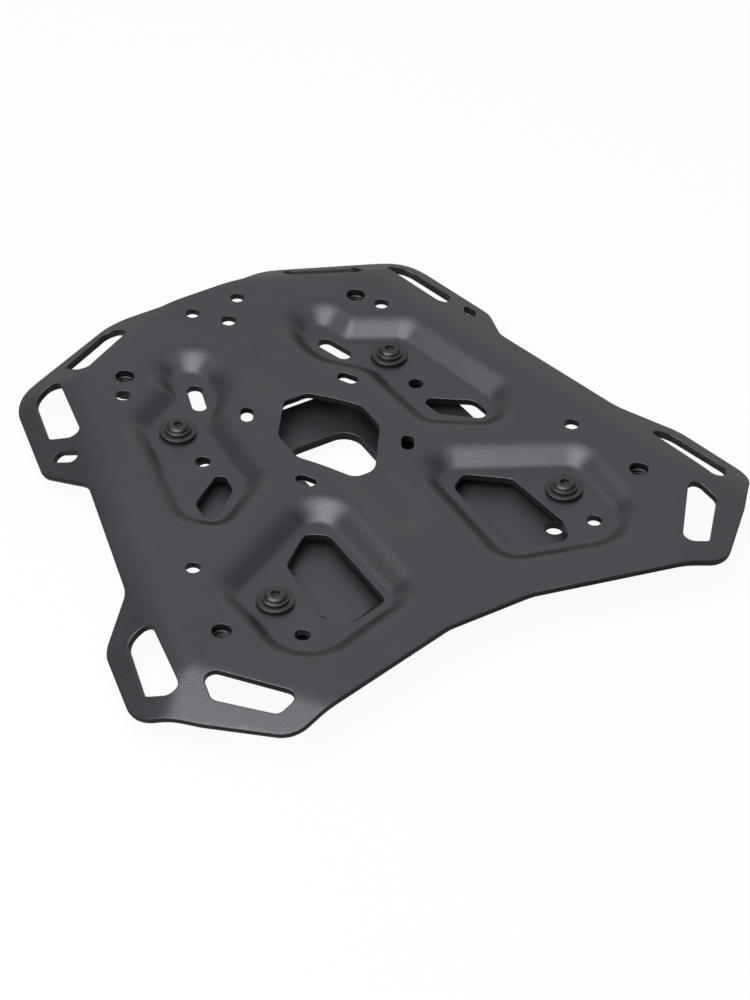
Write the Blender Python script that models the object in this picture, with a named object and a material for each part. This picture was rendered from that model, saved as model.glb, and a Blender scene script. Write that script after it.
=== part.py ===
"""Motorcycle luggage rack: a deep-drawn sheet plate bolted over a flat adapter plate.

The plate is pressed from one sheet.  Four sunk pockets hold the screws, the ears
at the corners carry grip and strap slots, and the sides and the front and rear
diagonals are bent down.  The most demanding feature is that pressed plate: one
height formula, `depth`, gives the pockets, bends and middle valley.  The blank is
cut in plan with all its openings, pressed to that depth and thickened.

X runs across, +Y to the front end with three holes, +Z up.  All sizes below are
in millimetres, and z = 0 is the flat rim of the plate.  At the end the whole rack
is moved so that the origin lies below the middle of its box.
"""

import math
from collections import namedtuple

import bmesh
import bpy
import numpy as np
from mathutils import Matrix, Vector
from mathutils.geometry import delaunay_2d_cdt

MM = 0.001
GAP = 0.3

# Pressed plate
SHEET = 3.5
POCKET_DEPTH = 7.0
WALL_RUN = 15.0
WALL_FOOT_SHARE = 0.12
WALL_LIP_SHARE = 0.60
VALLEY_DEPTH = 2.2
VALLEY_HALF_WIDTH = 21.0
VALLEY_ARC_SHARE = 0.42
VALLEY_REAR_Y = -70.0
VALLEY_FRONT_Y = 52.0

# A fold across the sheet: the direction that it goes down in plan, its distance
# from the middle, half the run of its curve and the angle of the bent part.
Fold = namedtuple("Fold", "direction distance half_curve angle")
FLANK_FOLD = Fold(direction=13.8, distance=107.8, half_curve=9.0, angle=29.8)
FRONT_FOLD = Fold(direction=66.5, distance=119.6, half_curve=4.0, angle=31.0)
REAR_FOLD = Fold(direction=-36.5, distance=172.0, half_curve=5.0, angle=15.6)

# Outlines are corners (x, y, corner radius), counter-clockwise.  The plate and the
# middle opening list their right half, from the rear forwards.
PLATE_HALF = [
    (22.0, -145.3, 25.0), (115.7, -167.0, 16.0), (165.9, -111.4, 18.0),
    (155.9, -69.5, 18.0), (134.4, -47.6, 15.0), (115.4, 25.6, 12.0),
    (125.0, 51.0, 12.0), (111.75, 104.4, 24.0), (45.5, 133.2, 20.0),
    (24.0, 120.6, 10.0),
]
MIDDLE_OPENING_HALF = [
    (5.5, -34.8, 7.0), (24.4, -9.5, 8.0), (24.4, 8.0, 8.0), (7.5, 28.9, 4.0),
]
REAR_WINDOW = [
    (61.5, -116.8, 5.0), (65.6, -104.0, 3.0), (61.5, -67.5, 6.0),
    (43.5, -53.4, 5.0), (34.2, -59.0, 6.0), (34.2, -110.8, 5.0),
]
POCKET_OPENING = [
    (55.3, -10.8, 3.0), (73.2, -23.0, 4.0), (78.2, -20.5, 4.0),
    (77.0, -9.6, 6.0), (58.5, 2.9, 4.0), (54.3, 0.3, 3.0),
]
FRONT_GRIP = [
    (44.5, 112.5, 5.0), (78.3, 95.0, 4.0), (81.5, 110.4, 5.0), (45.5, 127.8, 5.0),
]
FRONT_EAR_SLOT = [
    (101.2, 57.6, 4.0), (106.3, 58.4, 4.0), (113.3, 69.2, 6.0),
    (106.3, 97.2, 9.0), (91.4, 103.2, 4.5),
]
REAR_EAR_SLOT = [
    (144.5, -116.3, 4.0), (152.5, -115.8, 5.0), (156.8, -104.0, 8.0),
    (149.2, -71.8, 7.0), (135.2, -71.5, 4.5),
]
REAR_GRIP = [
    (101.2, -150.2, 4.5), (116.7, -153.8, 4.5), (137.2, -129.5, 5.0),
    (134.2, -117.3, 4.0), (127.4, -116.6, 4.5),
]
FRONT_POCKET_FLOOR = [
    (50.5, -11.0, 7.0), (74.5, -26.5, 6.0), (84.5, -15.0, 10.0),
    (71.0, 47.0, 6.0), (46.0, 60.5, 8.0), (42.5, 76.0, 4.0),
    (31.5, 76.0, 5.0), (29.5, 66.0, 14.0), (30.0, 54.0, 18.0), (47.5, 35.0, 24.0),
]
REAR_POCKET_FLOOR = [
    (30.5, -112.5, 9.0), (89.5, -129.0, 17.0), (91.5, -75.0, 6.0), (30.5, -43.5, 8.0),
]

# Round holes of the plate, right half: x, y, diameter
PLATE_HOLES = [
    (12.65, 108.25, 6.6), (72.4, 69.2, 7.0), (103.3, -54.6, 7.0),
    (78.8, -111.4, 7.0), (59.2, 15.0, 7.0),
]
MIDDLE_HOLE = (0.0, 94.5, 7.2)

# Round-ended slots of the plate, right half: x, y, length, width, direction
ROUND_ENDED_SLOTS = [
    (28.0, 27.6, 10.2, 5.9, 121.0), (28.0, -27.6, 10.2, 5.9, 59.0),
    (113.3, 51.2, 12.4, 5.1, 57.0), (38.6, 57.2, 19.0, 7.4, 108.0),
]

# Screws through the pocket floors, with their washers, spacers and nuts
FRONT_SCREW = (59.0, 39.4)
REAR_SCREW = (78.4, -86.4)
SHANK = 6.0
SCREW_HOLE = 6.8
SCREW_FLANGE = 13.6
SCREW_FLANGE_THICKNESS = 1.1
SCREW_DOME = 10.6
SCREW_DOME_FLAT = 6.2
SCREW_HEAD_HEIGHT = 3.0
SCREW_POINT_BELOW_NUT = 2.7
SCREW_POINT_CHAMFER = 0.8
SOCKET_ACROSS_FLATS = 4.0
SOCKET_DEPTH = 2.0
WASHER_OUTER = 18.0
WASHER_THICKNESS = 1.6
SPACER_OUTER = 13.0
SPACER_LENGTH = 3.4
CLEARANCE_BORE = 6.6
NUT_ACROSS_FLATS = 10.0
NUT_THICKNESS = 5.0

# Threaded nuts welded under the plate, for fixing a case
FRONT_WELD_NUT = (64.9, 81.4)
REAR_WELD_NUT = (112.8, -97.6)
WELD_NUT_HOLE = 9.0
WELD_NUT_ACROSS_FLATS = 13.0
WELD_NUT_THICKNESS = 6.5
WELD_NUT_BORE = 6.7

# Adapter plate, right half: its ears reach past the screws by these distances
ADAPTER_THICKNESS = 4.5
FRONT_EAR_REACH = (12.0, 13.1)
REAR_EAR_REACH = (8.4, 10.5)
ADAPTER_HALF = [
    (77.0, -113.0, 10.0),
    (REAR_SCREW[0] + REAR_EAR_REACH[0], REAR_SCREW[1] - REAR_EAR_REACH[1], 9.0),
    (REAR_SCREW[0] + REAR_EAR_REACH[0], REAR_SCREW[1] + REAR_EAR_REACH[1], 10.0),
    (77.0, -58.0, 12.0),
    (75.0, -8.0, 40.0),
    (FRONT_SCREW[0] + FRONT_EAR_REACH[0], FRONT_SCREW[1] + FRONT_EAR_REACH[1], 9.0),
    (FRONT_SCREW[0] - FRONT_EAR_REACH[0], FRONT_SCREW[1] + FRONT_EAR_REACH[1], 8.0),
    (41.0, 37.5, 5.0),
]
ADAPTER_OPENING_HALF = [(19.5, -28.0, 10.0), (19.5, 9.2, 10.0)]
ADAPTER_HOLES = [(63.5, -101.0, 8.7), (54.0, 20.5, 9.0)]

# Heights that follow from the stack at a screw
POCKET_FLOOR_Z = -POCKET_DEPTH
UNDER_FLOOR_Z = POCKET_FLOOR_Z - SHEET
WASHER_Z = POCKET_FLOOR_Z + GAP
HEAD_Z = WASHER_Z + WASHER_THICKNESS + GAP
SPACER_Z = UNDER_FLOOR_Z - GAP - SPACER_LENGTH
ADAPTER_TOP_Z = SPACER_Z - GAP
NUT_Z = ADAPTER_TOP_Z - ADAPTER_THICKNESS - GAP - NUT_THICKNESS

# Mesh fineness: degrees for each piece of an arc, sides, and distances between points
ARC_STEP = 18.0
RING_ARC_STEP = 24.0
HOLE_SIDES = 16
ROUND_SIDES = 20
RING_STEP = 7.5
WALL_RINGS = (0.0, WALL_FOOT_SHARE, 1 - WALL_LIP_SHARE, 1 - WALL_LIP_SHARE / 2, 1.0)
EDGE_STEP = 12.0
GRID_STEP = 14.0

# A finish: its name, colour, metallic value and roughness
BLACK_COAT = ("satin_black_coat", (0.035, 0.035, 0.037, 1.0), 0.0, 0.42)
BLACK_STEEL = ("black_oxide_steel", (0.04, 0.04, 0.042, 1.0), 0.7, 0.35)
ZINC = ("zinc_plated_steel", (0.55, 0.56, 0.58, 1.0), 1.0, 0.35)
PLAIN_STEEL = ("plain_steel", (0.3, 0.3, 0.31, 1.0), 1.0, 0.45)


# Outlines


def rounded(corners, step=ARC_STEP):
    """A closed outline from corners (x, y, radius), with each corner an arc.

    Where two arcs would meet on a short edge, both are made smaller.
    """
    place = np.array([corner[:2] for corner in corners])
    radius = np.array([corner[2] for corner in corners])
    ahead = np.roll(place, -1, 0) - place
    length = np.hypot(ahead[:, 0], ahead[:, 1])
    ahead /= length[:, None]
    behind = -np.roll(ahead, 1, 0)
    turn = math.pi - np.arccos(np.clip((ahead * behind).sum(1), -1, 1))
    reach = radius * np.tan(turn / 2)
    fit = np.minimum(1, 0.98 * length / (reach + np.roll(reach, -1)))
    radius = radius * np.minimum(fit, np.roll(fit, 1))
    reach = radius * np.tan(turn / 2)
    points = []
    for i, here in enumerate(place):
        side = math.copysign(1.0, ahead[i][0] * behind[i][1] - ahead[i][1] * behind[i][0])
        start = here + behind[i] * reach[i]
        centre = start + np.array((behind[i][1], -behind[i][0])) * side * radius[i]
        first = math.atan2(start[1] - centre[1], start[0] - centre[0])
        pieces = max(2, math.ceil(math.degrees(turn[i]) / step))
        for k in range(pieces + 1):
            angle = first + side * turn[i] * k / pieces
            points.append(centre + radius[i] * np.array((math.cos(angle), math.sin(angle))))
    return np.array(points)


def both_halves(half):
    """The corners of a symmetric outline from those of its right half."""
    return half + [(-x, y, radius) for x, y, radius in reversed(half)]


def flipped(outline):
    """The same outline on the left side, still counter-clockwise."""
    return (outline * np.array((-1.0, 1.0)))[::-1]


def circle(x, y, diameter):
    """A round hole as a closed outline."""
    angles = 2 * math.pi * (np.arange(HOLE_SIDES) + 0.5) / HOLE_SIDES
    return np.array((x, y)) + diameter / 2 * np.stack((np.cos(angles), np.sin(angles)), 1)


def round_ended(x, y, length, width, degrees):
    """A slot with half-circle ends."""
    along = np.array((math.cos(math.radians(degrees)), math.sin(math.radians(degrees))))
    across = np.array((-along[1], along[0]))
    reach = (length - width) / 2
    points = []
    for end in (1, -1):
        for k in range(7):
            angle = -math.pi / 2 + math.pi * k / 6
            out = reach + width / 2 * math.cos(angle)
            points.append((x, y) + end * (along * out + across * width / 2 * math.sin(angle)))
    return np.array(points)


def divided(outline, step):
    """An outline with its long straight runs divided."""
    points = []
    for a, b in zip(outline, np.roll(outline, -1, 0)):
        pieces = max(1, round(float(np.linalg.norm(b - a)) / step))
        points += [a + (b - a) * k / pieces for k in range(pieces)]
    return np.array(points)


def grown(outline, distance):
    """A counter-clockwise outline moved outwards, point by point."""
    before = outline - np.roll(outline, 1, 0)
    after = np.roll(outline, -1, 0) - outline
    along = before / np.linalg.norm(before, axis=1)[:, None]
    along = along + after / np.linalg.norm(after, axis=1)[:, None]
    along /= np.linalg.norm(along, axis=1)[:, None]
    return outline + distance * np.stack((along[:, 1], -along[:, 0]), 1)


def distance_to(outline, x, y):
    """The distance to a closed outline, and whether each point is inside it."""
    nearest = np.full(np.shape(x), 1e9)
    inside = np.zeros(np.shape(x), bool)
    for (ax, ay), (bx, by) in zip(outline, np.roll(outline, -1, 0)):
        dx, dy = bx - ax, by - ay
        t = np.clip(((x - ax) * dx + (y - ay) * dy) / (dx * dx + dy * dy + 1e-12), 0, 1)
        nearest = np.minimum(nearest, np.hypot(x - ax - t * dx, y - ay - t * dy))
        if ay != by:
            crossing = (ay > y) != (by > y)
            inside ^= crossing & (x < (bx - ax) * (y - ay) / (by - ay) + ax)
    return nearest, inside


# The pressed surface

FRONT_FLOOR = rounded(FRONT_POCKET_FLOOR)
REAR_FLOOR = rounded(REAR_POCKET_FLOOR)


def folded(x, y, fold):
    """How far a bent-down part lies below the rim."""
    direction, slope = math.radians(fold.direction), math.tan(math.radians(fold.angle))
    past = math.cos(direction) * x + math.sin(direction) * y - fold.distance
    curve = slope * (past + fold.half_curve) ** 2 / (4 * fold.half_curve)
    bent = np.where(past > fold.half_curve, slope * past, curve)
    return np.where(past < -fold.half_curve, 0.0, bent)


def fall(t, foot, lip):
    """A wall from 1 at t = 0 to 0 at t = 1: a foot arc, a straight run and a lip arc."""
    t = np.clip(t, 0, 1)
    gain = 1 / (1 - foot / 2 - lip / 2)
    lower = 1 - gain * t * t / (2 * foot)
    upper = gain * (1 - t) ** 2 / (2 * lip)
    return np.where(t < foot, lower, np.where(t < 1 - lip, 1 - gain * (t - foot / 2), upper))


def sunk(x, y, floor):
    """How far a pocket with this floor lies below the rim."""
    nearest, inside = distance_to(floor, x, y)
    share = np.where(inside, 0.0, nearest) / WALL_RUN
    return POCKET_DEPTH * fall(share, WALL_FOOT_SHARE, WALL_LIP_SHARE)


def deeper(a, b, power):
    """The deeper of two drops, rounded where they are alike."""
    return (np.maximum(a, 1e-6) ** power + np.maximum(b, 1e-6) ** power) ** (1 / power)


def depth(x, y):
    """How far the top of the pressed plate lies below its rim."""
    side = np.abs(x)
    bent = deeper(folded(side, y, FLANK_FOLD), folded(side, y, FRONT_FOLD), 6)
    bent = deeper(bent, folded(side, y, REAR_FOLD), 6)
    pockets = deeper(sunk(side, y, FRONT_FLOOR), sunk(side, y, REAR_FLOOR), 3)
    along = 1.3 * (y - np.clip(y, VALLEY_REAR_Y, VALLEY_FRONT_Y))
    share = np.hypot(side, along) / VALLEY_HALF_WIDTH
    valley = VALLEY_DEPTH * fall(share, VALLEY_ARC_SHARE, VALLEY_ARC_SHARE)
    return deeper(deeper(pockets, valley, 3), bent, 3)


def under(x, y, reach):
    """The highest level under the plate that is clear of it all round a place."""
    angles = 2 * math.pi * np.arange(24) / 24
    x, y = x + reach * np.cos(angles), y + reach * np.sin(angles)
    h = 0.1
    across = (depth(x + h, y) - depth(x - h, y)) / (2 * h)
    along = (depth(x, y + h) - depth(x, y - h)) / (2 * h)
    thick = SHEET * np.sqrt(1 + across ** 2 + along ** 2)
    return -float((depth(x, y) + thick).max())


def level(x, y):
    """No drop anywhere, for a flat plate."""
    return np.zeros(np.shape(x))


def pressing_points():
    """Points that the mesh needs along the pocket walls, the folds and the valley."""
    points = []
    for corners in (FRONT_POCKET_FLOOR, REAR_POCKET_FLOOR):
        foot = divided(rounded(corners, RING_ARC_STEP), RING_STEP)
        points += [grown(foot, share * WALL_RUN) for share in WALL_RINGS]
    for fold in (FLANK_FOLD, FRONT_FOLD, REAR_FOLD):
        direction = math.radians(fold.direction)
        down = np.array((math.cos(direction), math.sin(direction)))
        along = np.array((-down[1], down[0]))
        for past in (-fold.half_curve, 0.0, fold.half_curve):
            for t in np.arange(-170.0, 171.0, EDGE_STEP):
                points.append((down * (fold.distance + past) + along * t)[None])
    for y in np.arange(VALLEY_REAR_Y - 20, VALLEY_FRONT_Y + 21, EDGE_STEP):
        for share in (0.0, 0.5, 1.0):
            points.append(np.array(((share * VALLEY_HALF_WIDTH, y),)))
    right = np.concatenate(points)
    right = right[right[:, 0] >= 0]
    return np.concatenate((right, right * (-1, 1)))


def grid_points():
    """A sparse triangular grid over the whole plate."""
    points = []
    for i, y in enumerate(np.arange(-170.0, 140.0, GRID_STEP * 0.866)):
        for x in np.arange(GRID_STEP / 2 * (i % 2), 170.0, GRID_STEP):
            points += [(x, y), (-x, y)]
    return np.array(points)


# Sheet pieces


def in_blank(points, outline, openings, margin):
    """Which points lie in the blank, more than the margin away from its edges."""
    x, y = points[:, 0], points[:, 1]
    nearest, good = distance_to(outline, x, y)
    good &= nearest > margin
    for opening in openings:
        nearest, inside = distance_to(opening, x, y)
        good &= ~inside & (nearest > margin)
    return good


def with_room(points, kept, spacing):
    """The kept points and those of the others that are at least the spacing away."""
    kept = list(kept)
    for p in points:
        if ((np.array(kept) - p) ** 2).sum(1).min() > spacing * spacing:
            kept.append(p)
    return np.array(kept)


def sheet(name, outline, openings, extra, drop, top_z, thickness, material):
    """A plate cut out in plan, pressed down by `drop` and thickened downwards."""
    loops = [outline] + openings
    points = np.concatenate(loops)
    edges = []
    first = 0
    for loop in loops:
        edges += [(first + k, first + (k + 1) % len(loop)) for k in range(len(loop))]
        first += len(loop)
    for more, spacing in extra:
        more = more[in_blank(more, outline, openings, 0.35 * spacing)]
        points = with_room(more, points, spacing)
    plan = [Vector(p) for p in points.tolist()]
    plan, _, faces, *_ = delaunay_2d_cdt(plan, edges, [], 0, 1e-6)
    plan = np.array([tuple(v) for v in plan])
    middles = plan[np.array(faces)].mean(1)
    inside = in_blank(middles, outline, openings, 0.0)
    heights = top_z - drop(plan[:, 0], plan[:, 1])
    body = bmesh.new()
    corners = [body.verts.new(Vector((*p, z)) * MM) for p, z in zip(plan, heights)]
    for face, wanted in zip(faces, inside):
        if wanted:
            body.faces.new([corners[k] for k in face])
    loose = [vertex for vertex in body.verts if not vertex.link_faces]
    bmesh.ops.delete(body, geom=loose, context="VERTS")
    obj = as_object(name, body, material)
    solidify = obj.modifiers.new("thickness", "SOLIDIFY")
    solidify.thickness = thickness * MM
    solidify.offset = -1
    solidify.use_quality_normals = True
    return obj


def rack_plate():
    """The pressed plate with all its openings."""
    openings = [rounded(both_halves(MIDDLE_OPENING_HALF)), circle(*MIDDLE_HOLE)]
    right = [REAR_WINDOW, POCKET_OPENING, FRONT_GRIP, FRONT_EAR_SLOT, REAR_EAR_SLOT, REAR_GRIP]
    right = [rounded(corners) for corners in right]
    right += [circle(*hole) for hole in PLATE_HOLES]
    right += [round_ended(*slot) for slot in ROUND_ENDED_SLOTS]
    right += [circle(*place, SCREW_HOLE) for place in (FRONT_SCREW, REAR_SCREW)]
    right += [circle(*place, WELD_NUT_HOLE) for place in (FRONT_WELD_NUT, REAR_WELD_NUT)]
    for outline in right:
        openings += [outline, flipped(outline)]
    openings = [divided(opening, EDGE_STEP) for opening in openings]
    outline = divided(rounded(both_halves(PLATE_HALF)), EDGE_STEP)
    extra = [(pressing_points(), 2.0), (grid_points(), 7.0)]
    coat = finish(*BLACK_COAT, "plate")
    sheet("rack_plate", outline, openings, extra, depth, 0.0, SHEET, coat)


def adapter_plate():
    """The flat plate under the rack that carries it on the vehicle."""
    openings = [rounded(both_halves(ADAPTER_OPENING_HALF))]
    right = [circle(*place, SCREW_HOLE) for place in (FRONT_SCREW, REAR_SCREW)]
    right += [circle(*hole) for hole in ADAPTER_HOLES]
    for hole in right:
        openings += [hole, flipped(hole)]
    outline = rounded(both_halves(ADAPTER_HALF))
    coat = finish(*BLACK_COAT, "adapter")
    top, thickness = ADAPTER_TOP_Z, ADAPTER_THICKNESS
    sheet("adapter_plate", outline, openings, [], level, top, thickness, coat)


# Fasteners, each made about the Z axis with its low end at z = 0


def turned(profile):
    """A body spun about the Z axis from a closed profile of (radius, z)."""
    body = bmesh.new()
    corners = [body.verts.new((radius * MM, 0.0, z * MM)) for radius, z in profile]
    edges = [body.edges.new((corners[k - 1], corners[k])) for k in range(len(corners))]
    turn = {"cent": (0, 0, 0), "axis": (0, 0, 1), "angle": 2 * math.pi, "steps": ROUND_SIDES}
    bmesh.ops.spin(body, geom=corners + edges, use_merge=True, **turn)
    bmesh.ops.remove_doubles(body, verts=body.verts, dist=0.01 * MM)
    bmesh.ops.dissolve_degenerate(body, edges=body.edges, dist=0.001 * MM)
    bmesh.ops.recalc_face_normals(body, faces=body.faces)
    return body


def prism(sides, across_flats, low, high):
    """An upright prism about the Z axis, with a flat side towards +X."""
    body = bmesh.new()
    radius = across_flats / 2 / math.cos(math.pi / sides) * MM
    stand = Matrix.Translation((0, 0, (low + high) / 2 * MM)) @ Matrix.Rotation(math.pi / sides, 4, "Z")
    size = {"segments": sides, "radius1": radius, "radius2": radius, "depth": (high - low) * MM}
    bmesh.ops.create_cone(body, cap_ends=True, matrix=stand, **size)
    return body


def cut(body, operation, tool):
    """The mesh left when `tool` is cut from, or met with, `body`."""
    blank = as_object("blank", body, None)
    cutter = as_object("cutter", tool, None)
    boolean = blank.modifiers.new("cut", "BOOLEAN")
    boolean.operation = operation
    boolean.object = cutter
    bpy.context.view_layer.update()
    evaluated = blank.evaluated_get(bpy.context.evaluated_depsgraph_get())
    result = bmesh.new()
    result.from_mesh(evaluated.data)
    bpy.data.objects.remove(blank)
    bpy.data.objects.remove(cutter)
    return result


def screw():
    """A flanged button-head screw with a hexagonal socket, head underside at z = 0."""
    top = SCREW_HEAD_HEIGHT
    point = NUT_Z - SCREW_POINT_BELOW_NUT - HEAD_Z
    profile = [(0.0, point), (SHANK / 2 - SCREW_POINT_CHAMFER, point)]
    profile += [(SHANK / 2, point + SCREW_POINT_CHAMFER), (SHANK / 2, 0.0)]
    profile += [(SCREW_FLANGE / 2 - 0.2, 0.0), (SCREW_FLANGE / 2, 0.3)]
    profile += [(SCREW_FLANGE / 2, SCREW_FLANGE_THICKNESS - 0.4)]
    profile += [(SCREW_FLANGE / 2 - 0.3, SCREW_FLANGE_THICKNESS)]
    rise = top - SCREW_FLANGE_THICKNESS
    for k in range(5):
        angle = math.pi / 2 * k / 4
        radius = (SCREW_DOME_FLAT + (SCREW_DOME - SCREW_DOME_FLAT) * math.cos(angle)) / 2
        profile.append((radius, SCREW_FLANGE_THICKNESS + rise * math.sin(angle)))
    profile.append((0.0, top))
    socket = prism(6, SOCKET_ACROSS_FLATS, top - SOCKET_DEPTH, top + 1)
    return cut(turned(profile), "DIFFERENCE", socket)


def ring(outer, height):
    """A washer or spacer with broken outer edges."""
    edge = 0.25
    profile = [(CLEARANCE_BORE / 2, 0), (outer / 2 - edge, 0), (outer / 2, edge)]
    profile += [(outer / 2, height - edge), (outer / 2 - edge, height), (CLEARANCE_BORE / 2, height)]
    return turned(profile)


def nut(across_flats, bore, height):
    """A hexagonal nut with chamfered corners and a plain bore."""
    corner = across_flats / math.sqrt(3)
    chamfer = 0.95 * (corner - across_flats / 2)
    inner = across_flats / 2 - 0.1
    rise = chamfer * math.tan(math.radians(30))
    profile = [(bore / 2, 0), (inner, 0), (corner, rise + 0.05)]
    profile += [(corner, height - rise - 0.05), (inner, height), (bore / 2, height)]
    return cut(prism(6, across_flats, -1, height + 1), "INTERSECT", turned(profile))


def fasteners():
    """The screws, washers, spacers, nuts and weld nuts on both sides."""
    screws = {"front": FRONT_SCREW, "rear": REAR_SCREW}
    weld_nuts = {"front": FRONT_WELD_NUT, "rear": REAR_WELD_NUT}
    black, zinc, steel = finish(*BLACK_STEEL), finish(*ZINC), finish(*PLAIN_STEEL)
    stack = {end: (*place, HEAD_Z) for end, place in screws.items()}
    repeat("screw", screw(), stack, black)
    stack = {end: (*place, WASHER_Z) for end, place in screws.items()}
    repeat("washer", ring(WASHER_OUTER, WASHER_THICKNESS), stack, black)
    stack = {end: (*place, SPACER_Z) for end, place in screws.items()}
    repeat("spacer", ring(SPACER_OUTER, SPACER_LENGTH), stack, zinc)
    stack = {end: (*place, NUT_Z) for end, place in screws.items()}
    repeat("nut", nut(NUT_ACROSS_FLATS, CLEARANCE_BORE, NUT_THICKNESS), stack, zinc)
    reach = WELD_NUT_ACROSS_FLATS / math.sqrt(3)
    hung = {}
    for end, place in weld_nuts.items():
        hung[end] = (*place, under(*place, reach) - GAP - WELD_NUT_THICKNESS)
    weld_nut = nut(WELD_NUT_ACROSS_FLATS, WELD_NUT_BORE, WELD_NUT_THICKNESS)
    repeat("weld_nut", weld_nut, hung, steel)


# Objects


def finish(name, colour, metallic, roughness, piece=""):
    """A plain material for one kind of piece."""
    material = bpy.data.materials.new(f"{name}_{piece}" if piece else name)
    material.use_nodes = True
    shader = material.node_tree.nodes["Principled BSDF"]
    shader.inputs["Base Color"].default_value = colour
    shader.inputs["Metallic"].default_value = metallic
    shader.inputs["Roughness"].default_value = roughness
    material.diffuse_color = colour
    return material


def as_mesh(name, body, material):
    """A mesh from a body, shaded smooth except at sharp edges."""
    for face in body.faces:
        face.smooth = True
    mesh = bpy.data.meshes.new(name)
    body.to_mesh(mesh)
    body.free()
    mesh.set_sharp_from_angle(angle=math.radians(35))
    if material:
        mesh.materials.append(material)
    return mesh


def as_object(name, body, material):
    """An object at the origin from a body."""
    obj = bpy.data.objects.new(name, as_mesh(name, body, material))
    bpy.context.collection.objects.link(obj)
    return obj


def repeat(kind, body, places, material):
    """Copies of one piece at both ends and on both sides, which share its mesh."""
    mesh = as_mesh(kind, body, material)
    for end, (x, y, z) in places.items():
        for side, sign in (("left", -1), ("right", 1)):
            obj = bpy.data.objects.new(f"{kind}_{end}_{side}", mesh)
            obj.location = Vector((sign * x, y, z)) * MM
            bpy.context.collection.objects.link(obj)


def stand_on_origin():
    """Moves every piece so that the origin is below the middle of the whole box."""
    bpy.context.view_layer.update()
    graph = bpy.context.evaluated_depsgraph_get()
    pieces = list(bpy.context.collection.objects)
    corners = []
    for piece in pieces:
        shape = piece.evaluated_get(graph)
        corners += [shape.matrix_world @ vertex.co for vertex in shape.data.vertices]
    low, high = np.min(corners, 0), np.max(corners, 0)
    for piece in pieces:
        piece.location -= Vector(((low[0] + high[0]) / 2, (low[1] + high[1]) / 2, low[2]))


def main():
    """Clears the scene and builds every piece."""
    for old in list(bpy.data.objects):
        bpy.data.objects.remove(old)
    rack_plate()
    adapter_plate()
    fasteners()
    stand_on_origin()


main()
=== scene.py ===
"""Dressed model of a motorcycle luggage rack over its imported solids.

The rack is a deep-drawn, powder-coated plate bolted over a flat adapter plate.
`PressedPlate` and `AdapterPlate` model the two sheets with rounded edges, and
`ScrewStack` and `WeldNut` model the fasteners.  `Studio` sets the camera, lights,
backdrop and floor.  Outlines and heights are in millimetres from the middle of the
flat rim plane, as in the part, and `RackFrame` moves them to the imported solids.
"""

import logging
import math
from collections.abc import Callable, Sequence
from dataclasses import dataclass, field
from enum import Enum

import bpy
import numpy as np
from mathutils import Euler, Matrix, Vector
from mathutils.geometry import delaunay_2d_cdt


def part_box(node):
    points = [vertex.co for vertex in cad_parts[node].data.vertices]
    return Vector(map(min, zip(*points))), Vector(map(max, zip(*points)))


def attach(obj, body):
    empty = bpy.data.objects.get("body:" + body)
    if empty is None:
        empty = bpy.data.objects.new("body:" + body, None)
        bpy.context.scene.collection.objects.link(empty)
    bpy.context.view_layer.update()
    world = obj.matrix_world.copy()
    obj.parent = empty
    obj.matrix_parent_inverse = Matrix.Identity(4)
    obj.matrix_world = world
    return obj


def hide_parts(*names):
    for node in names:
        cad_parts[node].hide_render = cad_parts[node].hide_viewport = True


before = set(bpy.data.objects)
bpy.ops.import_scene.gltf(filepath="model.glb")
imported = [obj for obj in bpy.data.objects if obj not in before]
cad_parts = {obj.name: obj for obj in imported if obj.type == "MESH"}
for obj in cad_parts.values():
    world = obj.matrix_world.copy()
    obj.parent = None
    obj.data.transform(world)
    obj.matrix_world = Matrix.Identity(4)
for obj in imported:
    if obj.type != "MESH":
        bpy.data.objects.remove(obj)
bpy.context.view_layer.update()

MM = 0.001
BODY = "root"
NOISE_SPAN = (0.3, 0.7)
HOLE_SIDES = 48
TURNED_SIDES = 64
SOFT_EDGE = 0.12
SMOOTH_ANGLE = math.radians(35)
THREAD_ANGLE = math.radians(30)
THREAD_ROOT = 0.18
THREAD_STEPS = 40

Outline = np.ndarray
Pair = tuple[float, float]
Triple = tuple[float, float, float]
Corners = Sequence[Triple]
Piece = bpy.types.Object
Socket = bpy.types.NodeSocket

log = logging.getLogger("rack")


# Finishes


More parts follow.
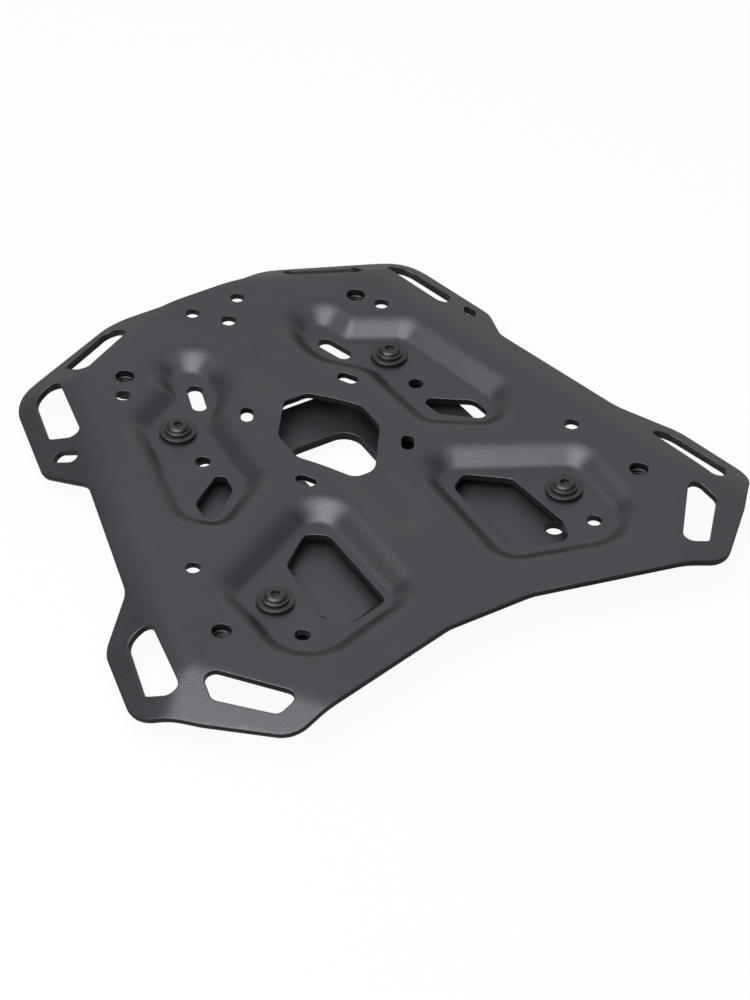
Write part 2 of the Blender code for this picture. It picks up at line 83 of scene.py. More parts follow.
class Graph:
    """A node tree with short calls for adding and joining nodes."""

    def __init__(self, tree: bpy.types.NodeTree) -> None:
        """Takes a node tree."""
        self.tree = tree

    def add(self, kind: str, inputs: dict | None = None, **settings: object) -> bpy.types.Node:
        """Adds a node.

        Args:
            kind: The node's type, without its ShaderNode prefix.
            inputs: Values by socket name or number, or nodes' outputs to join to them.
            settings: The node's own properties.

        Returns:
            The new node.
        """
        node = self.tree.nodes.new("ShaderNode" + kind)
        for name, value in settings.items():
            setattr(node, name, value)
        for name, value in (inputs or {}).items():
            self.give(node.inputs[name], value)
        return node

    def give(self, socket: Socket, value: object) -> None:
        """Sets a socket to a value, or joins an output to it."""
        if isinstance(value, Socket):
            self.tree.links.new(value, socket)
        else:
            socket.default_value = value

    def maths(self, operation: str, *values: object) -> Socket:
        """The result of a sum, product or comparison of numbers and outputs."""
        return self.add("Math", dict(enumerate(values)), operation=operation).outputs[0]

    def mapped(self, value: Socket, span: Pair, result: Pair, kind: str = "SMOOTHSTEP") -> Socket:
        """A step between two values.

        Args:
            value: The number that it reads.
            span: Where the step starts and ends.
            result: What it gives there.
            kind: How it runs between them.

        Returns:
            The number's output.
        """
        ends = {"From Min": span[0], "From Max": span[1], "To Min": result[0], "To Max": result[1]}
        return self.add("MapRange", {"Value": value, **ends}, interpolation_type=kind).outputs["Result"]

    def noise(self, place: Socket, scale: float, detail: float = 2.0) -> Socket:
        """Grey noise with features of about 1 / scale metres."""
        return self.add("TexNoise", {"Vector": place, "Scale": scale, "Detail": detail}).outputs["Fac"]

    def spread(self, noise: Socket, middle: float, reach: float) -> Socket:
        """Turns grey noise into numbers within a reach of a middle value."""
        return self.mapped(noise, NOISE_SPAN, (middle - reach, middle + reach), "LINEAR")

    def mixed(self, share: Socket, first: object, second: object) -> Socket:
        """A blend of two numbers."""
        return self.add("Mix", {"Factor": share, "A": first, "B": second}).outputs["Result"]

    def blend(self, share: Socket, first: object, second: object) -> Socket:
        """A blend of two colours, each three numbers or an output."""
        ends = [end if isinstance(end, Socket) else (*end, 1.0) for end in (first, second)]
        node = self.add("Mix", data_type="RGBA")
        for number, value in zip((0, 6, 7), (share, *ends)):
            self.give(node.inputs[number], value)
        return node.outputs[2]

    def bump(self, height: Socket, strength: float, distance: float, under: Socket | None = None) -> Socket:
        """A relief on the surface.

        Args:
            height: The pattern.
            strength: How strongly it shows.
            distance: Its height in metres.
            under: A relief that it lies on.

        Returns:
            The normal's output.
        """
        inputs = {"Height": height, "Strength": strength, "Distance": distance}
        if under is not None:
            inputs["Normal"] = under
        return self.add("Bump", inputs).outputs["Normal"]

    def seen(self) -> Socket:
        """1 for a ray from the camera, a reflection or clear material, and else 0."""
        paths = self.add("LightPath").outputs
        seen = self.maths("MAXIMUM", paths["Is Camera Ray"], paths["Is Glossy Ray"])
        return self.maths("MAXIMUM", seen, paths["Is Transmission Ray"])


class Surface(Graph):
    """The graph of a new material."""

    def __init__(self, name: str) -> None:
        """Starts a material with one shader and its output."""
        self.material = bpy.data.materials.new(name)
        self.material.use_nodes = True
        super().__init__(self.material.node_tree)
        self.shader = self.tree.nodes["Principled BSDF"]

    def shade(self, **inputs: object) -> None:
        """Sets or joins the shader's sockets, named with _ for a space."""
        for name, value in inputs.items():
            self.give(self.shader.inputs[name.replace("_", " ")], value)


@dataclass(frozen=True)
class PowderCoat:
    """Satin black powder coat: a fine peel, sparkle in the light and soft clouds.

    Upright faces have a lower specular level, painted shade that darkens the cut walls
    of the openings and the edges; an exported model doesn't keep it.
    """

    name: str = "satin_powder_coat"
    dark: Triple = (0.008, 0.008, 0.0105)
    light: Triple = (0.012, 0.012, 0.0155)
    roughness: float = 0.31
    cloud_scale: float = 22.0
    cloud_reach: float = 0.03
    grain_scale: float = 1900.0
    grain_reach: float = 0.05
    grain_height: float = 0.0003
    peel_scale: float = 700.0
    peel_height: float = 0.00008
    peel: float = 0.4
    index: float = 1.65
    # Painted shade: upright faces take the lower specular level, darkening cut walls and edges
    painted_shade_span: Pair = (0.1, 0.55)
    painted_shade_gloss: Pair = (0.25, 0.75)
    tint: Triple = (0.9, 0.9, 1.0)

    def material(self) -> bpy.types.Material:
        """Builds the finish.

        Returns:
            The material.
        """
        graph = Surface(self.name)
        place = graph.add("TexCoord").outputs["Object"]
        clouds = graph.noise(place, self.cloud_scale, 3.0)
        grain = graph.noise(place, self.grain_scale, 3.0)
        fine = graph.noise(place, self.peel_scale)
        graph.shade(Base_Color=graph.blend(clouds, self.dark, self.light))
        slow = graph.spread(clouds, 0.0, self.cloud_reach)
        graph.shade(Roughness=graph.maths("ADD", slow, graph.spread(grain, self.roughness, self.grain_reach)))
        graph.shader.inputs["IOR"].default_value = self.index
        # Painted shade: upright faces, such as cut walls and edges, reflect less than level faces
        upright = graph.add("SeparateXYZ", {"Vector": graph.add("TexCoord").outputs["Normal"]}).outputs["Z"]
        upright = graph.maths("ABSOLUTE", upright)
        graph.shade(Specular_IOR_Level=graph.mapped(upright, self.painted_shade_span, self.painted_shade_gloss, "LINEAR"))
        graph.shader.inputs["Specular Tint"].default_value = (*self.tint, 1.0)
        soft = graph.bump(fine, self.peel, self.peel_height)
        graph.shade(Normal=graph.bump(grain, self.peel, self.grain_height, soft))
        return graph.material


@dataclass(frozen=True)
class TurnedMetal:
    """Plated or blackened metal with fine turning rings about the piece's axis."""

    name: str
    dark: Triple
    light: Triple
    metallic: float
    roughness: float
    cloud_scale: float = 260.0
    cloud_reach: float = 0.07
    grain_scale: float = 3200.0
    grain: float = 0.2
    rings: float = 0.3
    ring_scale: float = 18.0
    relief: float = 0.00002

    def material(self) -> bpy.types.Material:
        """Builds the finish; the rings follow the piece's own UV map.

        Returns:
            The material.
        """
        graph = Surface(self.name)
        place = graph.add("TexCoord").outputs["Object"]
        flat = graph.add("UVMap", uv_map="axis").outputs["UV"]
        clouds = graph.noise(place, self.cloud_scale, 4.0)
        grain = graph.noise(place, self.grain_scale)
        graph.shader.inputs["Metallic"].default_value = self.metallic
        graph.shade(
            Base_Color=graph.blend(clouds, self.dark, self.light),
            Roughness=graph.spread(clouds, self.roughness, self.cloud_reach),
        )
        wave = {"Vector": flat, "Scale": self.ring_scale, "Distortion": 0.6, "Detail": 2.0}
        wave = graph.add("TexWave", wave, wave_type="RINGS", rings_direction="SPHERICAL")
        turned = graph.bump(wave.outputs["Fac"], self.rings, self.relief)
        graph.shade(Normal=graph.bump(grain, self.grain, self.relief, turned))
        return graph.material


class Metal(Enum):
    """The metal finishes of the fasteners."""

    BLACKENED = TurnedMetal(
        "blackened_steel", (0.045, 0.045, 0.048), (0.085, 0.085, 0.09), 0.75, 0.22
    )
    ZINC = TurnedMetal("zinc_plate", (0.5, 0.51, 0.53), (0.62, 0.63, 0.64), 1.0, 0.32)
    PLAIN = TurnedMetal("plain_steel", (0.05, 0.05, 0.053), (0.1, 0.1, 0.104), 0.8, 0.42)


# Outlines, in plan


def rounded(corners: Corners, step: float = 6.0) -> Outline:
    """A closed outline with an arc at each corner.

    Args:
        corners: Places and radii (x, y, radius), counter-clockwise.
        step: Degrees for each piece of an arc.

    Returns:
        The outline's points.
    """
    place = np.array([corner[:2] for corner in corners])
    radius = np.array([corner[2] for corner in corners], float)
    ahead = np.roll(place, -1, 0) - place
    length = np.hypot(ahead[:, 0], ahead[:, 1])
    ahead /= length[:, None]
    behind = -np.roll(ahead, 1, 0)
    turn = math.pi - np.arccos(np.clip((ahead * behind).sum(1), -1, 1))
    reach = radius * np.tan(turn / 2)
    fit = np.minimum(1, 0.98 * length / (reach + np.roll(reach, -1)))
    radius = radius * np.minimum(fit, np.roll(fit, 1))
    reach = radius * np.tan(turn / 2)
    points = []
    for i, here in enumerate(place):
        side = math.copysign(1.0, ahead[i][0] * behind[i][1] - ahead[i][1] * behind[i][0])
        start = here + behind[i] * reach[i]
        centre = start + np.array((behind[i][1], -behind[i][0])) * side * radius[i]
        first = math.atan2(start[1] - centre[1], start[0] - centre[0])
        pieces = max(2, math.ceil(math.degrees(turn[i]) / step))
        for k in range(pieces + 1):
            angle = first + side * turn[i] * k / pieces
            points.append(centre + radius[i] * np.array((math.cos(angle), math.sin(angle))))
    return np.array(points)


def both_halves(half: Corners) -> Corners:
    """The corners of a symmetric outline from those of its right half."""
    return tuple(half) + tuple((-x, y, radius) for x, y, radius in reversed(half))


def flipped(outline: Outline) -> Outline:
    """The same outline on the left side, still counter-clockwise."""
    return (outline * np.array((-1.0, 1.0)))[::-1]


def circle(x: float, y: float, diameter: float) -> Outline:
    """A round hole about a place (x, y)."""
    angles = 2 * math.pi * np.arange(HOLE_SIDES) / HOLE_SIDES
    return np.array((x, y)) + diameter / 2 * np.stack((np.cos(angles), np.sin(angles)), 1)


def round_ended(x: float, y: float, length: float, width: float, degrees: float) -> Outline:
    """A slot with half-circle ends.

    Args:
        x: Its middle across.
        y: Its middle along.
        length: Its length over all.
        width: Its width.
        degrees: Its direction.

    Returns:
        The outline's points.
    """
    along = np.array((math.cos(math.radians(degrees)), math.sin(math.radians(degrees))))
    across = np.array((-along[1], along[0]))
    reach = (length - width) / 2
    points = []
    for end in (1, -1):
        for k in range(17):
            angle = -math.pi / 2 + math.pi * k / 16
            out = reach + width / 2 * math.cos(angle)
            points.append((x, y) + end * (along * out + across * width / 2 * math.sin(angle)))
    return np.array(points)


def divided(outline: Outline, step: float) -> Outline:
    """An outline with its long straight runs divided.

    Args:
        outline: The outline's points.
        step: The longest run left, about.

    Returns:
        The outline with the added points.
    """
    points = []
    for a, b in zip(outline, np.roll(outline, -1, 0)):
        length = float(np.linalg.norm(b - a))
        pieces = max(1, round(length / step))
        if length > 1e-4:
            points += [a + (b - a) * k / pieces for k in range(pieces)]
    return np.array(points)


def sideways(outline: Outline) -> np.ndarray:
    """The direction out of a counter-clockwise outline at each point."""
    before = outline - np.roll(outline, 1, 0)
    after = np.roll(outline, -1, 0) - outline
    along = before / np.linalg.norm(before, axis=1)[:, None]
    along = along + after / np.linalg.norm(after, axis=1)[:, None]
    along /= np.linalg.norm(along, axis=1)[:, None]
    return np.stack((along[:, 1], -along[:, 0]), 1)


def distance_to(outline: Outline, x: np.ndarray, y: np.ndarray) -> tuple[np.ndarray, np.ndarray]:
    """How far points lie from a closed outline.

    Args:
        outline: The outline's points.
        x: The points' places across.
        y: The points' places along.

    Returns:
        The distances, and whether each point is inside.
    """
    nearest = np.full(np.shape(x), 1e9)
    inside = np.zeros(np.shape(x), bool)
    for (ax, ay), (bx, by) in zip(outline, np.roll(outline, -1, 0)):
        dx, dy = bx - ax, by - ay
        t = np.clip(((x - ax) * dx + (y - ay) * dy) / (dx * dx + dy * dy + 1e-12), 0, 1)
        nearest = np.minimum(nearest, np.hypot(x - ax - t * dx, y - ay - t * dy))
        if ay != by:
            crossing = (ay > y) != (by > y)
            inside ^= crossing & (x < (bx - ax) * (y - ay) / (by - ay) + ax)
    return nearest, inside


# The frame that the pieces share with the solids


@dataclass(frozen=True)
class RackFrame:
    """Where the rim plane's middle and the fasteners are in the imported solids."""

    front_screw: Pair = (59.0, 39.4)
    rear_screw: Pair = (78.4, -86.4)
    front_weld_nut: Pair = (64.9, 81.4)
    rear_weld_nut: Pair = (112.8, -97.6)

    def middle(self) -> Vector:
        """The rim plane's middle, in metres."""
        low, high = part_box("screw_front_right")
        return Vector((0.0, (low.y + high.y) / 2 - self.front_screw[1] * MM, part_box("rack_plate")[1].z))

    def place(self, points: np.ndarray) -> np.ndarray:
        """Moves points in millimetres about the rim's middle to the shared frame."""
        return np.asarray(points) * MM + np.array(self.middle())

    def screws(self, diameter: float) -> list[Outline]:
        """The screws' holes on the right side."""
        return [circle(*place, diameter) for place in (self.front_screw, self.rear_screw)]

    def foot(self, node: str) -> Vector:
        """The middle of a node's box in plan, at its lowest height."""
        low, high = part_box(node)
        return Vector(((low.x + high.x) / 2, (low.y + high.y) / 2, low.z))


RACK = RackFrame()


# Sheets


@dataclass
class Sheet:
    """A plate cut from sheet metal, with rounded edges, laid over a pressed surface.

    A grid cut by its outlines in edit mode leaves ragged rims on the drawn walls,
    so the sheet is triangulated in plan inside its outlines and pressed from that.
    """

    name: str
    outline: Outline
    openings: list[Outline]
    drop: Callable[[np.ndarray, np.ndarray], np.ndarray]
    top: float
    thickness: float
    edges: list[float]
    spacing: float
    edge_pieces: int = 5
    margin: float = 0.6

    def surface(self, plan: np.ndarray) -> tuple[np.ndarray, np.ndarray]:
        """The pressed top surface above plan points.

        Args:
            plan: Points (x, y).

        Returns:
            The points with their heights, and the upward normals.
        """
        x, y = plan[:, 0], plan[:, 1]
        step = 0.05
        across = (self.drop(x + step, y) - self.drop(x - step, y)) / (2 * step)
        along = (self.drop(x, y + step) - self.drop(x, y - step)) / (2 * step)
        normals = np.stack((across, along, np.ones(len(plan))), 1)
        normals /= np.linalg.norm(normals, axis=1)[:, None]
        return np.column_stack((plan, self.top - self.drop(x, y))), normals

    def inner_points(self, loops: list[Outline]) -> np.ndarray:
        """A triangular grid inside the sheet, clear of its edges.

        Args:
            loops: The outer edge first, then the openings.

        Returns:
            The grid's points.
        """
        low, high = loops[0].min(0), loops[0].max(0)
        rows = np.arange(low[1], high[1], self.spacing * math.sqrt(3) / 2)
        columns = np.arange(low[0], high[0], self.spacing)
        x, y = np.meshgrid(columns, rows)
        x[1::2] += self.spacing / 2
        grid = np.column_stack((x.ravel(), y.ravel()))
        return grid[self.within(grid, loops, self.margin * self.spacing)]

    def within(self, points: np.ndarray, loops: list[Outline], margin: float) -> np.ndarray:
        """Which points lie in the sheet, further than a margin from its edges.

        Args:
            points: Points (x, y).
            loops: The outer edge first, then the openings.
            margin: The least distance from every edge.

        Returns:
            A flag for each point.
        """
        x, y = points[:, 0], points[:, 1]
        nearest, good = distance_to(loops[0], x, y)
        good &= nearest > margin
        for loop in loops[1:]:
            low, high = loop.min(0) - margin, loop.max(0) + margin
            near = (x > low[0]) & (x < high[0]) & (y > low[1]) & (y < high[1]) & good
            nearest, inside = distance_to(loop, x[near], y[near])
            good[near] = ~inside & (nearest > margin)
        return good

    def rim(self, loop: Outline, outward: np.ndarray, radius: float) -> np.ndarray:
        """The rounded edge's rings between the top and bottom surfaces.

        Args:
            loop: The top surface's edge.
            outward: The direction out of the metal at each of its points.
            radius: The radius of the edge.

        Returns:
            Rings of points, from the top edge to the bottom edge.
        """
        top, normals = self.surface(loop)
        out = np.column_stack((outward, np.zeros(len(loop))))
        out -= (out * normals).sum(1)[:, None] * normals
        out /= np.linalg.norm(out, axis=1)[:, None]
        turns = np.linspace(0, math.pi / 2, self.edge_pieces + 1)
        steps = [(radius * math.sin(t), radius * (1 - math.cos(t))) for t in turns]
        steps += [(reach, self.thickness - fall) for reach, fall in reversed(steps)]
        return np.array([top + reach * out - fall * normals for reach, fall in steps])

    def build(self) -> Piece:
        """Builds the sheet at its place.

        Returns:
            The new object, at the origin, with its place in its mesh.
        """
        loops = [divided(loop, self.spacing) for loop in [self.outline] + self.openings]
        outward = [sideways(loops[0])] + [-sideways(loop) for loop in loops[1:]]
        loops = [loop - out * radius for loop, out, radius in zip(loops, outward, self.edges)]
        edges, first = [], 0
        for loop in loops:
            edges += [(first + k, first + (k + 1) % len(loop)) for k in range(len(loop))]
            first += len(loop)
        plan = np.concatenate(loops + [self.inner_points(loops)])
        plan, _, faces, *_ = delaunay_2d_cdt([Vector(p) for p in plan.tolist()], edges, [], 0, 1e-6)
        plan, faces = np.array([tuple(p) for p in plan]), np.array(faces)
        faces = faces[self.within(plan[faces].mean(1), loops, 0.0)]
        top, normals = self.surface(plan)
        count = len(plan)
        points = [top, top - self.thickness * normals]
        polygons = faces.tolist() + (faces[:, ::-1] + count).tolist()
        start, first = 2 * count, 0
        for loop, out, radius in zip(loops, outward, self.edges):
            rings = self.rim(loop, out, radius)[1:-1]
            size = len(loop)
            here = np.arange(size)
            between = [start + k * size + here for k in range(len(rings))]
            ids = [first + here] + between + [count + first + here]
            for upper, lower in zip(ids, ids[1:]):
                quads = np.stack((upper, lower, np.roll(lower, -1), np.roll(upper, -1)), 1)
                polygons += (quads if first == 0 else quads[:, ::-1]).tolist()
            points += list(rings)
            start, first = start + size * len(rings), first + size
        mesh = bpy.data.meshes.new(self.name)
        mesh.from_pydata(RACK.place(np.concatenate(points)).tolist(), [], polygons)
        mesh.validate()
        mesh.shade_smooth()
        obj = bpy.data.objects.new(self.name, mesh)
        bpy.context.scene.collection.objects.link(obj)
        weight_normals(obj)
        return obj


def weight_normals(obj: Piece) -> None:
    """Lets the large faces set the shading beside small rounded edges."""
    activate(obj)
    obj.modifiers.new("weights", "WEIGHTED_NORMAL").keep_sharp = True
    bpy.ops.object.modifier_apply(modifier="weights")


def mirrored_openings(right: Sequence[Outline]) -> list[Outline]:
    """Openings of the right side, and the same on the left."""
    return [loop for outline in right for loop in (outline, flipped(outline))]


def level(x: np.ndarray, y: np.ndarray) -> np.ndarray:
    """No drop anywhere, for a flat sheet."""
    return np.zeros(np.shape(x + y))


@dataclass(frozen=True)
class Fold:
    """A fold across the sheet, which bends the part beyond it down.

    Its direction is the way down in plan and its distance is from the middle; half
    the run of its curve and the angle of the bent part follow.
    """

    direction: float
    distance: float
    half_curve: float
    angle: float

    def depth(self, x: np.ndarray, y: np.ndarray) -> np.ndarray:
        """How far the bent part lies below the rim."""
        direction, slope = math.radians(self.direction), math.tan(math.radians(self.angle))
        past = math.cos(direction) * x + math.sin(direction) * y - self.distance
        curve = slope * (past + self.half_curve) ** 2 / (4 * self.half_curve)
        bent = np.where(past > self.half_curve, slope * past, curve)
        return np.where(past < -self.half_curve, 0.0, bent)


@dataclass(frozen=True)
class Pocket:
    """A sunk pocket: its floor's outline, its depth and the run of its rolled wall."""

    floor: Outline
    deep: float = 7.0
    wall_run: float = 15.0
    foot: float = 0.12
    lip: float = 0.60

    def depth(self, x: np.ndarray, y: np.ndarray) -> np.ndarray:
        """How far the pocket lies below the rim."""
        nearest, inside = distance_to(self.floor, x, y)
        return self.deep * rolled(np.where(inside, 0.0, nearest) / self.wall_run, self.foot, self.lip)


def rolled(t: np.ndarray, foot: float, lip: float) -> np.ndarray:
    """A wall from 1 at t = 0 to 0 at t = 1: a foot arc, a straight run and a lip arc.

    Args:
        t: The share of the wall's run.
        foot: The foot arc's share of it.
        lip: The lip arc's share of it.

    Returns:
        The share of the pocket's depth left at each place.
    """
    t = np.clip(t, 0, 1)
    gain = 1 / (1 - foot / 2 - lip / 2)
    lower = 1 - gain * t * t / (2 * foot)
    upper = gain * (1 - t) ** 2 / (2 * lip)
    return np.where(t < foot, lower, np.where(t < 1 - lip, 1 - gain * (t - foot / 2), upper))


def deeper(a: np.ndarray, b: np.ndarray, power: float) -> np.ndarray:
    """The deeper of two drops, rounded where they are alike."""
    return (np.maximum(a, 1e-6) ** power + np.maximum(b, 1e-6) ** power) ** (1 / power)


@dataclass
class PressedPlate:
    """The deep-drawn plate with its pockets, folds, middle valley and openings."""

    thickness: float = 3.5
    outer_edge: float = 1.15
    grip_edge: float = 0.6
    opening_edge: float = 0.5
    hole_edge: float = 0.35
    spacing: float = 1.9
    valley_depth: float = 2.2
    valley_half_width: float = 21.0
    valley_ends: Pair = (-70.0, 56.0)
    folds: tuple[Fold, ...] = (
        Fold(13.8, 107.8, 9.0, 29.8),
        Fold(66.5, 119.6, 4.0, 31.0),
        Fold(-36.5, 172.0, 5.0, 15.6),
    )
    half: Corners = (
        (22.0, -145.3, 25.0), (115.7, -167.0, 16.0), (146.2, -138.3, 40.0), (168.0, -114.3, 18.0),
        (157.6, -69.3, 18.0), (134.9, -47.6, 15.0), (115.4, 25.6, 12.0), (126.0, 51.5, 12.0),
        (113.2, 106.4, 24.0), (43.5, 135.8, 18.0), (24.0, 122.2, 8.0),
    )
    middle_half: Corners = ((5.5, -34.8, 7.0), (22.8, -10.8, 9.0), (22.8, 7.0, 8.0), (6.0, 29.6, 5.0))
    windows: tuple[Corners, ...] = (
        ((61.5, -116.8, 5.0), (65.6, -104.0, 3.0), (61.5, -67.5, 6.0), (43.5, -53.4, 5.0),
         (34.2, -59.0, 6.0), (34.2, -110.8, 5.0)),
        ((57.0, -9.8, 5.0), (73.2, -23.0, 5.0), (78.2, -20.5, 5.0), (77.0, -9.6, 6.0),
         (58.5, 2.9, 5.0), (55.4, 0.3, 4.0)),
    )
    grips: tuple[Corners, ...] = (
        ((46.3, 113.6, 5.0), (79.6, 96.2, 4.0), (82.8, 111.5, 5.0), (47.6, 128.9, 5.0)),
        ((101.0, 59.0, 5.0), (106.0, 60.0, 6.0), (113.3, 69.2, 6.0), (106.3, 97.2, 9.0), (91.4, 103.2, 4.5)),
        ((144.3, -115.5, 4.0), (150.2, -116.2, 4.5), (157.6, -107.0, 5.0), (148.2, -73.0, 8.0),
         (135.6, -71.8, 4.5)),
        ((101.4, -149.8, 4.5), (115.4, -153.2, 4.5), (136.1, -129.8, 5.0), (133.6, -117.6, 4.0),
         (127.6, -117.3, 4.5)),
    )
    floors: tuple[Corners, ...] = (
        ((50.5, -11.0, 7.0), (74.5, -26.5, 6.0), (84.5, -15.0, 10.0), (71.0, 47.0, 6.0), (46.0, 60.5, 8.0),
         (42.5, 76.0, 4.0), (31.5, 76.0, 5.0), (29.5, 66.0, 14.0), (30.0, 54.0, 18.0), (47.5, 35.0, 24.0)),
        ((30.5, -112.5, 9.0), (89.5, -129.0, 17.0), (91.5, -75.0, 6.0), (30.5, -43.5, 8.0)),
    )
    holes: tuple[Triple, ...] = (
        (12.65, 108.25, 6.6), (72.4, 69.2, 7.0), (103.3, -54.6, 7.0), (78.8, -111.4, 7.0), (59.2, 15.0, 7.0),
    )
    middle_hole: Triple = (0.0, 94.5, 7.2)
    slots: tuple[tuple[float, float, float, float, float], ...] = (
        (28.0, 27.6, 10.2, 5.9, 121.0), (28.0, -27.6, 10.2, 5.9, 59.0),
        (113.3, 51.2, 12.4, 5.7, 57.0), (38.6, 57.2, 19.0, 7.4, 108.0),
    )
    screw_hole: float = 6.8
    weld_nut_hole: float = 9.0
    pockets: list[Pocket] = field(init=False)

    def __post_init__(self) -> None:
        """Makes the pockets over their floors."""
        self.pockets = [Pocket(rounded(floor, 4.0)) for floor in self.floors]

    def depth(self, x: np.ndarray, y: np.ndarray) -> np.ndarray:
        """How far the top of the plate lies below its rim."""
        side = np.abs(x)
        flank, front, rear = (fold.depth(side, y) for fold in self.folds)
        bent = deeper(deeper(flank, front, 6), rear, 6)
        pockets = deeper(*(pocket.depth(side, y) for pocket in self.pockets), 3)
        rear, front = self.valley_ends
        along = 1.3 * (np.minimum(y - rear, 0.0) + np.maximum(y - front, 0.0))
        valley = self.valley_depth * rolled(np.hypot(side, along) / self.valley_half_width, 0.42, 0.42)
        return deeper(deeper(pockets, valley, 3), bent, 3)

    def openings(self) -> list[Outline]:
        """All the openings of the plate."""
        right = [rounded(corners) for corners in self.windows + self.grips]
        right += [circle(*hole) for hole in self.holes]
        right += [round_ended(*slot) for slot in self.slots]
        right += RACK.screws(self.screw_hole)
        nuts = (RACK.front_weld_nut, RACK.rear_weld_nut)
        right += [circle(*place, self.weld_nut_hole) for place in nuts]
        middle = [rounded(both_halves(self.middle_half)), circle(*self.middle_hole)]
        return middle + mirrored_openings(right)

    def build(self, coat: PowderCoat) -> Piece:
        """Builds and coats the plate.

        Args:
            coat: Its finish.

        Returns:
            The plate, which stands for its solid.
        """
        outline, openings = rounded(both_halves(self.half), 4.0), self.openings()
        edges = [self.outer_edge, self.opening_edge, self.hole_edge]
        edges += [self.opening_edge] * 2 * len(self.windows) + [self.grip_edge] * 2 * len(self.grips)
        edges += [self.hole_edge] * (len(openings) + 1 - len(edges))
        sheet = Sheet("plate", outline, openings, self.depth, 0.0, self.thickness, edges, self.spacing)
        return dressed(sheet.build(), coat.material(), "rack_plate")


@dataclass
class AdapterPlate:
    """The flat plate below, which carries the rack on the vehicle."""

    top: float = -14.5
    thickness: float = 4.5
    edge_radius: float = 0.5
    spacing: float = 4.0
    half: Corners = (
        (28.0, -101.5, 14.0), (70.5, -115.4, 9.0), (86.8, -94.5, 8.0), (86.8, -75.9, 10.0),
        (77.0, -58.0, 12.0), (75.0, -8.0, 40.0), (71.0, 52.5, 9.0), (47.0, 52.5, 8.0), (41.0, 37.5, 5.0),
    )
    opening_half: Corners = ((19.5, -28.0, 10.0), (19.5, 9.2, 10.0))
    holes: tuple[Triple, ...] = ((64.7, -99.8, 8.7), (54.0, 20.5, 9.0))
    screw_hole: float = 6.8

    def build(self, coat: PowderCoat) -> Piece:
        """Builds and coats the adapter plate.

        Args:
            coat: Its finish.

        Returns:
            The plate, which stands for its solid.
        """
        right = [circle(*hole) for hole in self.holes]
        right += RACK.screws(self.screw_hole)
        openings = [rounded(both_halves(self.opening_half))] + mirrored_openings(right)
        outline = rounded(both_halves(self.half))
        edges = [self.edge_radius] * (len(openings) + 1)
        sheet = Sheet("adapter", outline, openings, level, self.top, self.thickness, edges, self.spacing)
        return dressed(sheet.build(), coat.material(), "adapter_plate")


# Bench work on small pieces


def deselect() -> None:
    """Deselects every object."""
    bpy.ops.object.select_all(action="DESELECT")


def activate(obj: Piece) -> None:
    """Makes an object the only one selected, and active."""
    deselect()
    obj.select_set(True)
    bpy.context.view_layer.objects.active = obj


def turned(name: str, profile: Sequence[Pair], ring: bool = False) -> Piece:
    """A piece extruded from a circle, ring by ring, along its profile.

    Args:
        name: The name of the piece.
        profile: Radii and heights in millimetres.
        ring: Whether the profile closes on itself round a bore.

    Returns:
        The new object about the Z axis.
    """
    deselect()
    radius, z = profile[0]
    size = {"vertices": TURNED_SIDES, "radius": radius * MM, "fill_type": "NOTHING" if ring else "NGON"}
    bpy.ops.mesh.primitive_circle_add(location=(0, 0, z * MM), **size)
    obj = bpy.context.object
    obj.name = name
    bpy.ops.object.mode_set(mode="EDIT")
    bpy.ops.mesh.select_all(action="SELECT")
    rest = list(profile[1:]) + ([profile[0]] if ring else [])
    for wider, higher in rest:
        lift = {"value": (0, 0, (higher - z) * MM)}
        if ring:
            bpy.ops.mesh.extrude_edges_move(TRANSFORM_OT_translate=lift)
        else:
            bpy.ops.mesh.extrude_region_move(TRANSFORM_OT_translate=lift)
        share = wider / radius
        bpy.ops.transform.resize(value=(share, share, 1), center_override=(0, 0, higher * MM))
        radius, z = wider, higher
    bpy.ops.mesh.select_all(action="SELECT")
    bpy.ops.mesh.remove_doubles(threshold=0.002 * MM)
    bpy.ops.mesh.normals_make_consistent(inside=False)
    bpy.ops.object.mode_set(mode="OBJECT")
    settle(obj)
    return obj


def settle(obj: Piece) -> None:
    """Puts an object's place, turn and scale into its mesh."""
    activate(obj)
    bpy.ops.object.transform_apply(location=True, rotation=True, scale=True)


def hexagon(name: str, across_flats: float, low: float, high: float) -> Piece:
    """An upright hexagonal bar.

    Args:
        name: The name of the piece.
        across_flats: Its width in millimetres.
        low: Its lower end.
        high: Its upper end.

    Returns:
        The new object about the Z axis.
    """
    deselect()
    size = {"radius": across_flats / math.sqrt(3) * MM, "depth": (high - low) * MM}
    stand = {"location": (0, 0, (low + high) / 2 * MM), "rotation": (0, 0, math.pi / 6)}
    bpy.ops.mesh.primitive_cylinder_add(vertices=6, end_fill_type="NGON", **size, **stand)
    obj = bpy.context.object
    obj.name = name
    settle(obj)
    return obj


def cut(piece: Piece, tool: Piece, operation: str) -> None:
    """Cuts a tool from a piece, or keeps what they share, and removes the tool.

    Args:
        piece: The piece that changes.
        tool: The cutting body.
        operation: DIFFERENCE or INTERSECT.
    """
    activate(piece)
    boolean = piece.modifiers.new("cut", "BOOLEAN")
    boolean.operation, boolean.object, boolean.solver = operation, tool, "EXACT"
    bpy.ops.object.modifier_apply(modifier="cut")
    bpy.data.objects.remove(tool)


def soften(piece: Piece, degrees: float) -> None:
    """Breaks the sharp edges of a piece and shades it smooth.

    Args:
        piece: The piece.
        degrees: The least angle of the edges that it takes.
    """
    activate(piece)
    bevel = piece.modifiers.new("edges", "BEVEL")
    bevel.width, bevel.segments, bevel.limit_method = SOFT_EDGE * MM, 3, "ANGLE"
    bevel.angle_limit, bevel.miter_outer = math.radians(degrees), "MITER_ARC"
    bpy.ops.object.modifier_apply(modifier="edges")
    bpy.ops.object.shade_smooth_by_angle(angle=SMOOTH_ANGLE)


